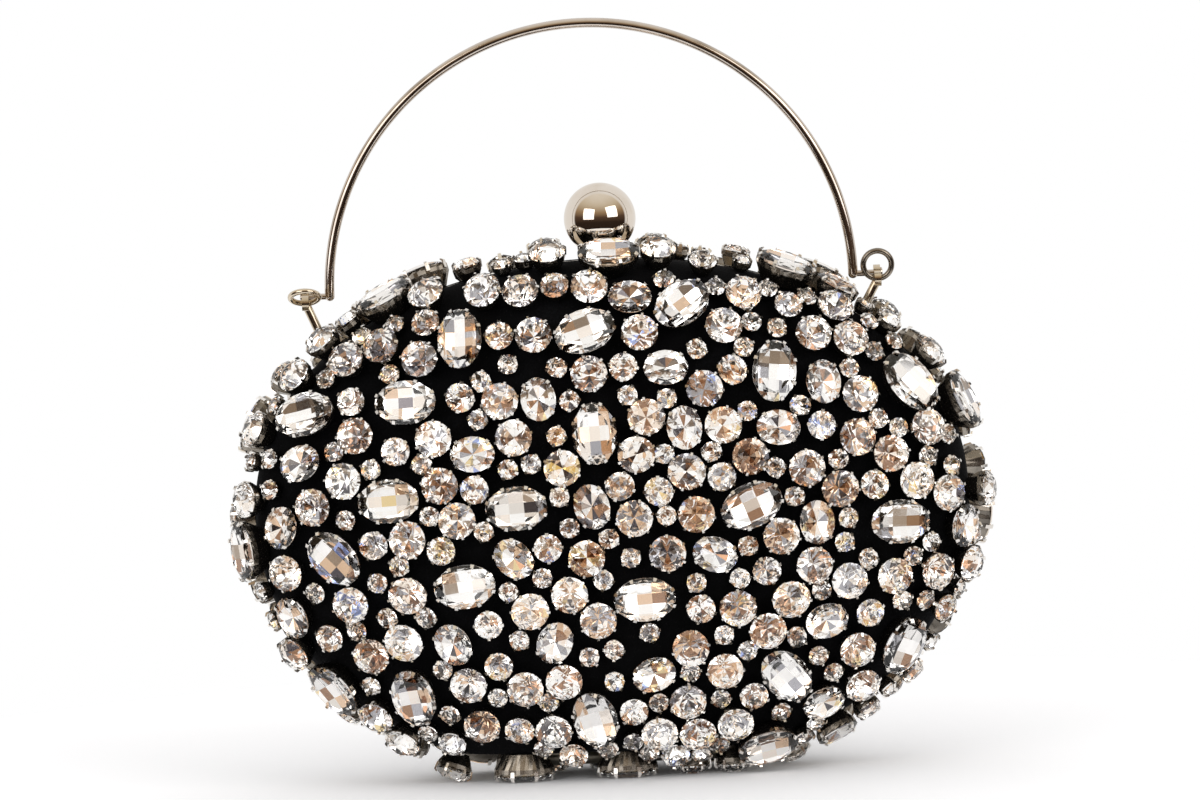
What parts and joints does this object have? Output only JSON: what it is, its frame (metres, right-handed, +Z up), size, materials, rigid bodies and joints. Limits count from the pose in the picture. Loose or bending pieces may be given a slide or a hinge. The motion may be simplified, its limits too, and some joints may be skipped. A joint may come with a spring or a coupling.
{
  "type": "hard clutch bag",
  "caption": "Hard oval evening clutch of two hinged half shells covered in velvet and claw-set foiled stones, with a ball catch on top and a wire bail handle.",
  "frame": {"origin": "under the middle of the closed case, on the level of the base stones' flat tops", "axes": "+X to the right as seen from the front, +Y to the back, +Z up; the front faces -Y"},
  "size_m": [0.1716, 0.0602, 0.1689],
  "materials": {
    "velvet": "short pile velvet",
    "shell": "plain pressed sheet",
    "lining": "woven satin",
    "rim_metal": "polished pale gold plate",
    "foiled_stone": "faceted, foiled at the back",
    "setting_metal": "bright plated claw cup",
    "hinge_metal": "satin plate",
    "polished_ball": "mirror polished plate",
    "catch_metal": "satin plate",
    "handle_metal": "polished pale gold plate",
    "lug_metal": "polished pale gold plate"
  },
  "bodies": {
    "back_half": {"back_shell": "shell", "back_velvet": "velvet", "back_lining": "lining", "back_frame": "rim_metal", "back_hinge_leaf": "hinge_metal", "hinge_pin": "hinge_metal", "clasp_bracket": "catch_metal", "clasp_pin": "catch_metal", "clasp_spring": "catch_metal", "lug_left": "lug_metal", "lug_right": "lug_metal", "back_large_oval_gems": "foiled_stone", "back_large_oval_cups": "setting_metal", "back_medium_oval_gems": "foiled_stone", "back_medium_oval_cups": "setting_metal", "back_large_round_gems": "foiled_stone", "back_large_round_cups": "setting_metal", "back_medium_round_gems": "foiled_stone", "back_medium_round_cups": "setting_metal", "back_small_round_gems": "foiled_stone", "back_small_round_cups": "setting_metal", "back_base_gems": "foiled_stone", "back_base_cups": "setting_metal"},
    "front_half": {"front_shell": "shell", "front_velvet": "velvet", "front_lining": "lining", "front_frame": "rim_metal", "front_hinge_leaf": "hinge_metal", "front_large_oval_gems": "foiled_stone", "front_large_oval_cups": "setting_metal", "front_medium_oval_gems": "foiled_stone", "front_medium_oval_cups": "setting_metal", "front_large_round_gems": "foiled_stone", "front_large_round_cups": "setting_metal", "front_medium_round_gems": "foiled_stone", "front_medium_round_cups": "setting_metal", "front_small_round_gems": "foiled_stone", "front_small_round_cups": "setting_metal", "front_base_gems": "foiled_stone", "front_base_cups": "setting_metal", "clasp_keeper": "catch_metal"},
    "catch": {"clasp_ball": "polished_ball", "clasp_lever": "catch_metal"},
    "handle": {"handle": "handle_metal"},
    "ring_left": {"ring_left": "lug_metal"},
    "ring_right": {"ring_right": "lug_metal"}
  },
  "joints": [
    {"name": "case_hinge", "type": "hinge", "parent": "back_half", "child": "front_half", "pos_m": [0, 0, 0.0037], "axis": [1, 0, 0], "range_deg": [0, 65]},
    {"name": "catch_tilt", "type": "hinge", "parent": "back_half", "child": "catch", "pos_m": [0, 0.0026, 0.1062], "axis": [-1, 0, 0], "range_deg": [0, 12], "stiffness_Nm_per_rad": 0.05, "springref_deg": -5.73},
    {"name": "handle_swing", "type": "hinge", "parent": "back_half", "child": "handle", "pos_m": [-0.0025, 0.0034, 0.1091], "axis": [1, 0, 0], "range_deg": [-70, 70]},
    {"name": "ring_left_swing", "type": "hinge", "parent": "back_half", "child": "ring_left", "pos_m": [-0.0663, -0.0009, 0.108], "axis": [-1, 0, 0], "range_deg": [-18, 57]},
    {"name": "ring_right_swing", "type": "hinge", "parent": "back_half", "child": "ring_right", "pos_m": [0.0613, -0.0009, 0.108], "axis": [-1, 0, 0], "range_deg": [-75, 5]}
  ]
}
